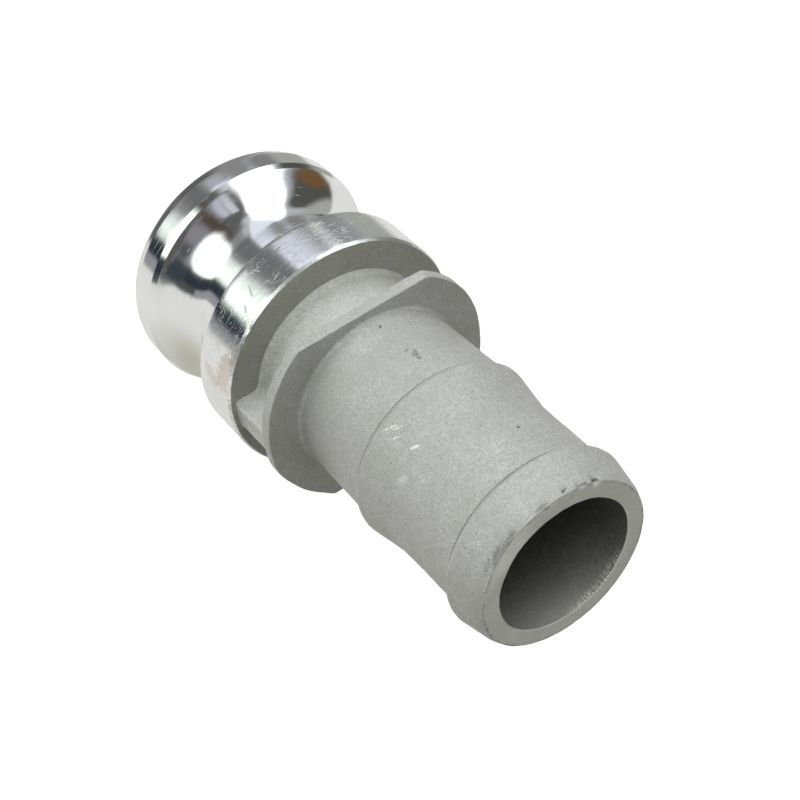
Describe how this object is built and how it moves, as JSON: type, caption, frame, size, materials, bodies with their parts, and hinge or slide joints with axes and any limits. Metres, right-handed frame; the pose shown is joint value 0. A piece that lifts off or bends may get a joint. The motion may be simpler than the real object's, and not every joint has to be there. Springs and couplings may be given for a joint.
{
  "type": "camlock coupling adapter",
  "caption": "Male cam-and-groove hose adapter: sealing rim, cam groove and stop collar at one end, wrench flange and barbed hose shank at the other.",
  "frame": {"origin": "centre of the sealing face, the flat end that meets the coupler's gasket", "axes": "+Z along the flow axis from the sealing face to the hose end, +Y out of one wrench flat, +X through one side rib"},
  "size_m": [0.0534, 0.0534, 0.1113],
  "materials": {
    "machined_aluminium": "turned bright, with light scuffs",
    "cast_aluminium": "grit-blasted as-cast, matt light grey"
  },
  "bodies": {
    "root": {"sealing_rim": "machined_aluminium", "groove_flare": "machined_aluminium", "groove_neck": "machined_aluminium", "stop_collar": "machined_aluminium", "ribbed_neck": "cast_aluminium", "wrench_flange": "cast_aluminium", "shank_root": "cast_aluminium", "middle_barb": "cast_aluminium", "shank_land": "cast_aluminium", "end_barb": "cast_aluminium"}
  },
  "joints": []
}
